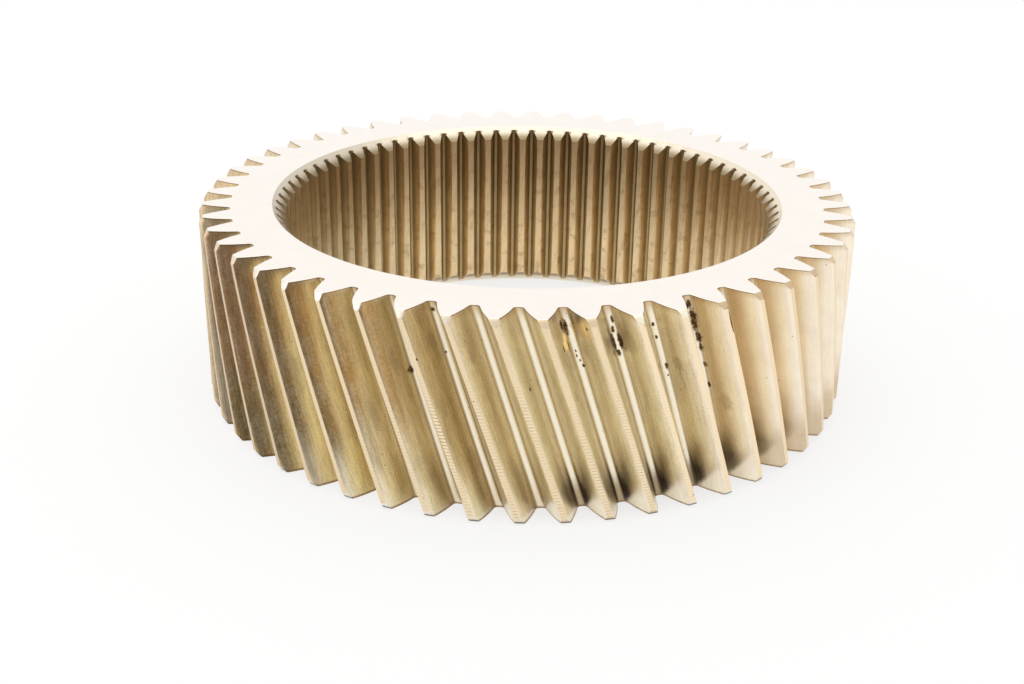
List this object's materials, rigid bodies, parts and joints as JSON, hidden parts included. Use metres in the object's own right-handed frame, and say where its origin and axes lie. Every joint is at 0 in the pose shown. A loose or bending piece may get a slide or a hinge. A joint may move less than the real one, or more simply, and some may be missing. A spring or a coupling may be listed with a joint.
{
  "type": "sun gear",
  "caption": "Steel sun gear ring with left-hand helical outer teeth, a straight involute spline through its bore and flat end faces, for a planetary gearbox.",
  "frame": {"origin": "on the gear axis, in the plane of the lower end face", "axes": "+Z along the gear axis towards the upper end face; at the upper end face a tooth gap is centred on -Y, and a spline groove is centred on +Y"},
  "size_m": [0.1582, 0.1582, 0.0464],
  "materials": {
    "gear_steel": "ground and shot-cleaned steel, tempered to a pale straw colour, with a thin oil stain"
  },
  "bodies": {
    "root": {"sun_gear": "gear_steel"}
  },
  "joints": []
}
